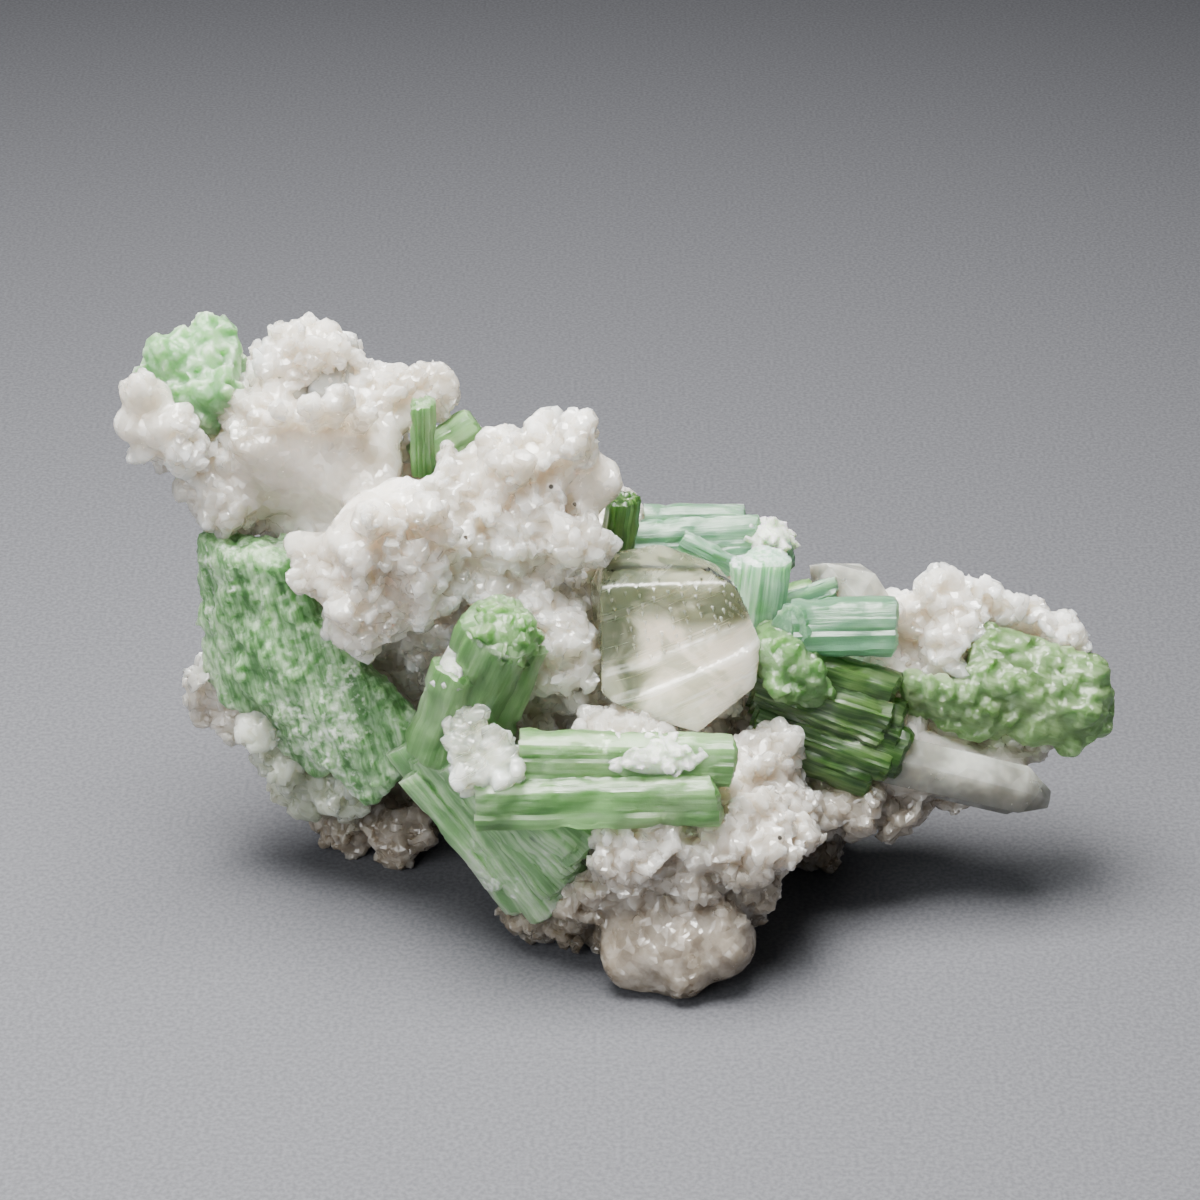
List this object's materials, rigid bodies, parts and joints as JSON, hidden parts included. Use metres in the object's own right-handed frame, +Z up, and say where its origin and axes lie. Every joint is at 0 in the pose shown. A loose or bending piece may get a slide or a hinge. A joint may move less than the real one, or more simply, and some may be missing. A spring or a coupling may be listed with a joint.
{
  "type": "tourmalinated quartz cluster",
  "caption": "Natural cluster of striated green tourmaline prisms grown through a lumpy mass of milky quartz, with a clear stubby quartz crystal at its middle, lying on its own lumps.",
  "frame": {"origin": "centre of the bounding box, at the level of the surface it lies on", "axes": "+X along the long side, towards the thin right arm seen from the showy side; +Y from the showy side to the back; +Z up"},
  "size_m": [0.089, 0.0434, 0.0539],
  "materials": {
    "milky_quartz": "milky, half see-through quartz with a wet-looking glitter",
    "clear_quartz": "clear glassy quartz with veils and a trace of green",
    "green_tourmaline": "glassy green tourmaline, striated along its prisms and frosted in places",
    "mint_tourmaline": "pale bluish green tourmaline, silky along its prisms",
    "dark_tourmaline": "deep green glassy tourmaline"
  },
  "bodies": {
    "root": {"quartz_mass": "milky_quartz", "clear_quartz_crystal": "clear_quartz", "quartz_clump_on_bar": "clear_quartz", "tourmaline_top_left_spray": "mint_tourmaline", "tourmaline_left_wall": "green_tourmaline", "tourmaline_centre_stub": "green_tourmaline", "tourmaline_lower_fan": "green_tourmaline", "tourmaline_front_bar": "green_tourmaline", "tourmaline_mint_knot": "mint_tourmaline", "tourmaline_right_fan": "dark_tourmaline", "tourmaline_mint_upright": "mint_tourmaline", "tourmaline_mint_bar": "mint_tourmaline", "tourmaline_back_upper": "mint_tourmaline", "tourmaline_right_arm": "green_tourmaline", "tourmaline_thin_prism": "green_tourmaline", "tourmaline_behind_knobs": "dark_tourmaline", "tourmaline_beside_knobs": "dark_tourmaline", "tourmaline_rear_spray": "green_tourmaline", "tourmaline_rear_bar": "green_tourmaline"}
  },
  "joints": []
}
